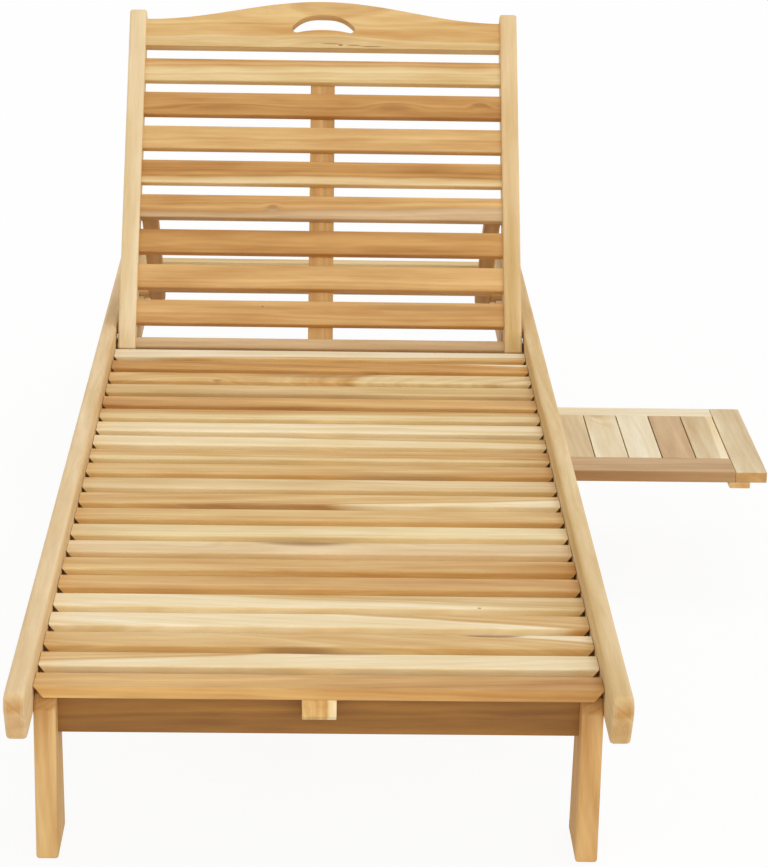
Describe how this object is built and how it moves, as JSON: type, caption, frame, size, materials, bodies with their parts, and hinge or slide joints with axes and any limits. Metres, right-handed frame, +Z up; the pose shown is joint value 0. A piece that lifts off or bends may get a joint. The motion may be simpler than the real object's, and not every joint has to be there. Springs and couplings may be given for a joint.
{
  "type": "sun lounger",
  "caption": "Low slatted wooden sun lounger with an adjustable backrest on a folding prop, an arched crest rail with a hand hole, and a tray table that slides out at the side.",
  "frame": {"origin": "on the ground, under the centre of the whole lounger's bounding box with the tray table pulled out, which is 138.5 mm to the right of the lounger's own centreline", "axes": "+Y from the foot end to the head end, +Z up, +X towards the side where the tray table slides out"},
  "size_m": [0.927, 1.975, 0.6588],
  "materials": {
    "light_wood": "sanded and unvarnished, pale straw to honey, with fine straight grain",
    "honey_wood": "sanded and unvarnished, honey brown, with fine straight grain",
    "steel": "satin"
  },
  "bodies": {
    "frame": {"side_rail_left": "light_wood", "side_rail_right": "light_wood", "seat_slat_01": "light_wood", "seat_slat_02": "light_wood", "seat_slat_03": "light_wood", "seat_slat_04": "light_wood", "seat_slat_05": "light_wood", "seat_slat_06": "light_wood", "seat_slat_07": "light_wood", "seat_slat_08": "light_wood", "seat_slat_09": "light_wood", "seat_slat_10": "light_wood", "seat_slat_11": "light_wood", "seat_slat_12": "light_wood", "seat_slat_13": "light_wood", "seat_slat_14": "light_wood", "seat_slat_15": "light_wood", "seat_slat_16": "light_wood", "seat_slat_17": "light_wood", "seat_slat_18": "light_wood", "seat_slat_19": "light_wood", "seat_slat_20": "light_wood", "seat_slat_21": "light_wood", "seat_slat_22": "light_wood", "bearer_left": "honey_wood", "bearer_right": "honey_wood", "rack_left": "honey_wood", "rack_right": "honey_wood", "seat_batten": "light_wood", "front_leg_left": "honey_wood", "front_leg_right": "honey_wood", "rear_leg_left": "honey_wood", "rear_leg_right": "honey_wood", "front_cross_rail": "honey_wood", "rear_cross_rail": "honey_wood", "head_rail": "light_wood", "table_guide_front": "honey_wood", "table_guide_rear": "honey_wood", "frame_bolts": "steel"},
    "backrest": {"stile_left": "light_wood", "stile_right": "light_wood", "crest_rail": "light_wood", "back_slat_1": "honey_wood", "back_slat_2": "honey_wood", "back_slat_3": "honey_wood", "back_slat_4": "honey_wood", "back_slat_5": "honey_wood", "back_slat_6": "honey_wood", "back_slat_7": "honey_wood", "back_slat_8": "honey_wood", "back_foot_rail": "honey_wood", "back_batten": "light_wood", "prop_bolts": "steel"},
    "prop": {"prop_arm_left": "honey_wood", "prop_arm_right": "honey_wood", "prop_foot_pins": "honey_wood", "prop_board": "honey_wood"},
    "table": {"table_frame": "light_wood", "table_planks": "honey_wood", "table_battens": "light_wood"}
  },
  "joints": [
    {"name": "backrest_hinge", "type": "hinge", "parent": "frame", "child": "backrest", "pos_m": [-0.1385, 0.388, 0.209], "axis": [1, 0, 0], "range_deg": [-51.5, 0]},
    {"name": "prop_pivot", "type": "hinge", "parent": "backrest", "child": "prop", "pos_m": [-0.1385, 0.52344, 0.36321], "axis": [1, 0, 0], "range_deg": [0, 90.64]},
    {"name": "table_slide", "type": "slide", "parent": "frame", "child": "table", "axis": [1, 0, 0], "range_m": [-0.2485, 0]}
  ],
  "couplings": [
    {"joint": "prop_pivot", "follows": "backrest_hinge", "ratio": -1.76}
  ]
}
